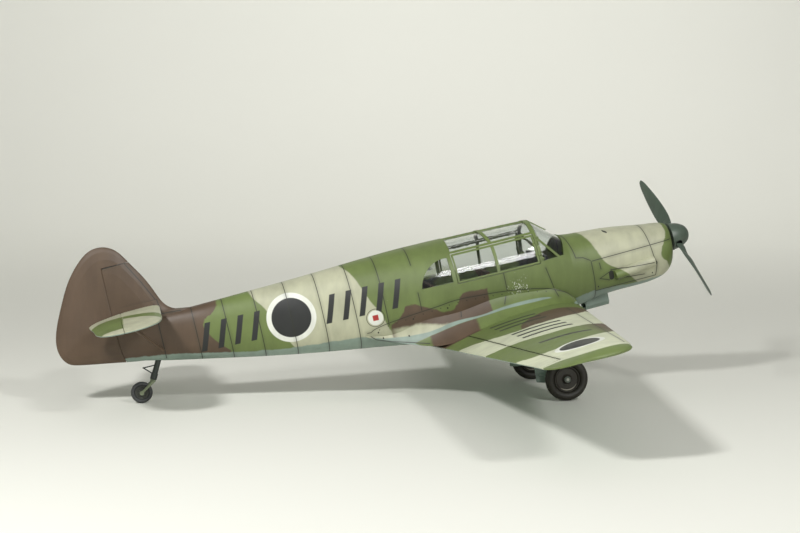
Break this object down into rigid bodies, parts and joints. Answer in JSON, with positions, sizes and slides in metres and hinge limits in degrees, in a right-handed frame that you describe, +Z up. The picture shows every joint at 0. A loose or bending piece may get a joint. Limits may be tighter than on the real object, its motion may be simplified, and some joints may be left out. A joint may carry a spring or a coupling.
{
  "type": "propeller aeroplane model",
  "caption": "Scale model of a low-wing propeller monoplane on its wheels, with a glazed cabin, folding doors, turning propeller and wheels, and moving control surfaces.",
  "frame": {"origin": "bottom centre of the bounding box, on the floor that the wheels stand on", "axes": "+X towards the nose, +Y towards the port (left) wing tip, +Z up"},
  "size_m": [0.1722, 0.2188, 0.0564],
  "materials": {
    "upper_paint": "matt camouflage paint in green, cream and brown",
    "underside_paint": "matt blue-grey paint",
    "strut_paint": "matt brown paint",
    "propeller_paint": "satin dark green paint",
    "clear_glazing": "clear moulded plastic",
    "interior_grey": "matt grey-green paint",
    "panel_black": "matt black paint",
    "seat_brown": "matt brown paint",
    "pin_steel": "bare steel",
    "main_tyre_rubber": "dusty dark brown tyre paint",
    "tail_tyre_rubber": "dark grey tyre paint",
    "hub_metal": "metallic grey paint",
    "leg_grey": "dark grey-green paint"
  },
  "bodies": {
    "airframe": {"wing_upper_left": "upper_paint", "wing_upper_right": "upper_paint", "wing_tip_left": "upper_paint", "wing_tip_right": "upper_paint", "wing_fillet_left": "upper_paint", "wing_fillet_right": "upper_paint", "fuselage_left": "upper_paint", "fuselage_right": "upper_paint", "fin": "upper_paint", "tailplane_left": "upper_paint", "tailplane_right": "upper_paint", "nose_ring": "upper_paint", "upper_cowling": "upper_paint", "lower_cowling": "upper_paint", "exhaust_left": "upper_paint", "exhaust_right": "upper_paint", "canopy_frame": "upper_paint", "wing_lower": "underside_paint", "oil_cooler_duct": "underside_paint", "gear_leg_left": "underside_paint", "gear_leg_right": "underside_paint", "gear_doors": "underside_paint", "tailplane_struts": "strut_paint", "windshield_glass": "clear_glazing", "roof_glass": "clear_glazing", "quarter_windows": "clear_glazing", "cabin_floor": "interior_grey", "rear_bulkhead": "interior_grey", "firewall": "interior_grey", "instrument_panel": "panel_black", "control_sticks": "panel_black", "front_seats": "seat_brown", "rear_bench": "seat_brown", "shaft_bush": "pin_steel"},
    "propeller": {"spinner": "propeller_paint", "propeller_hub": "propeller_paint", "propeller_shaft": "pin_steel", "propeller_blades": "propeller_paint"},
    "wheel_left": {"tyre_left": "main_tyre_rubber", "wheel_hub_left": "hub_metal"},
    "wheel_right": {"tyre_right": "main_tyre_rubber", "wheel_hub_right": "hub_metal"},
    "tail_swivel": {"tail_leg": "leg_grey", "steering_link": "leg_grey", "tail_fork": "leg_grey"},
    "tail_wheel": {"tail_tyre": "tail_tyre_rubber", "tail_wheel_hub": "hub_metal"},
    "rudder_body": {"rudder": "upper_paint", "rudder_hinge_pin": "pin_steel"},
    "elevators": {"elevator_left": "upper_paint", "elevator_right": "upper_paint", "elevator_torque_tube": "interior_grey"},
    "flap_body_left": {"flap_left": "upper_paint"},
    "flap_body_right": {"flap_right": "upper_paint"},
    "aileron_body_left": {"aileron_left": "upper_paint"},
    "aileron_body_right": {"aileron_right": "upper_paint"},
    "door_body_left": {"door_frame_left": "upper_paint", "door_glass_left": "clear_glazing"},
    "door_body_right": {"door_frame_right": "upper_paint", "door_glass_right": "clear_glazing"}
  },
  "joints": [
    {"name": "propeller_spin", "type": "hinge", "parent": "airframe", "child": "propeller", "pos_m": [0.08601, 0, 0.04265], "axis": [0.9765, 0, 0.2154], "continuous": true},
    {"name": "wheel_left_spin", "type": "hinge", "parent": "airframe", "child": "wheel_left", "pos_m": [0.04622, 0.01815, 0.00575], "axis": [0, 1, 0], "continuous": true},
    {"name": "wheel_right_spin", "type": "hinge", "parent": "airframe", "child": "wheel_right", "pos_m": [0.04622, -0.01815, 0.00575], "axis": [0, 1, 0], "continuous": true},
    {"name": "tail_wheel_swivel", "type": "hinge", "parent": "airframe", "child": "tail_swivel", "pos_m": [-0.06121, 0, 0.00628], "axis": [0.2706, 0, 0.9627], "range_deg": [-45, 45]},
    {"name": "tail_wheel_spin", "type": "hinge", "parent": "tail_swivel", "child": "tail_wheel", "pos_m": [-0.06424, 0, 0.00285], "axis": [0, 1, 0], "continuous": true},
    {"name": "rudder_turn", "type": "hinge", "parent": "airframe", "child": "rudder_body", "pos_m": [-0.06894, 0, 0.00847], "axis": [-0.2154, 0, 0.9765], "range_deg": [-28, 28]},
    {"name": "elevator_tilt", "type": "hinge", "parent": "airframe", "child": "elevators", "pos_m": [-0.06971, 0, 0.02297], "axis": [0, 1, 0], "range_deg": [-24, 26]},
    {"name": "flap_left_lower", "type": "hinge", "parent": "airframe", "child": "flap_body_left", "pos_m": [0.01967, 0.0175, 0.01636], "axis": [-0.009, -0.9967, -0.0806], "range_deg": [0, 45]},
    {"name": "flap_right_lower", "type": "hinge", "parent": "airframe", "child": "flap_body_right", "pos_m": [0.01967, -0.0175, 0.01636], "axis": [0.009, -0.9967, 0.0806], "range_deg": [0, 45]},
    {"name": "aileron_left_tilt", "type": "hinge", "parent": "airframe", "child": "aileron_body_left", "pos_m": [0.02004, 0.0584, 0.01966], "axis": [0.0094, 0.9969, 0.0787], "range_deg": [-22, 22]},
    {"name": "aileron_right_tilt", "type": "hinge", "parent": "airframe", "child": "aileron_body_right", "pos_m": [0.02004, -0.0584, 0.01966], "axis": [-0.0094, 0.9969, -0.0787], "range_deg": [-22, 22]},
    {"name": "door_left_open", "type": "hinge", "parent": "airframe", "child": "door_body_left", "pos_m": [0.04095, 0.01154, 0.0366], "axis": [0.2026, 0.3397, -0.9185], "range_deg": [0, 75]},
    {"name": "door_right_open", "type": "hinge", "parent": "airframe", "child": "door_body_right", "pos_m": [0.04095, -0.01154, 0.0366], "axis": [-0.2026, 0.3397, 0.9185], "range_deg": [0, 75]}
  ],
  "couplings": [
    {"joint": "flap_right_lower", "follows": "flap_left_lower", "ratio": 1},
    {"joint": "aileron_right_tilt", "follows": "aileron_left_tilt", "ratio": -1}
  ]
}
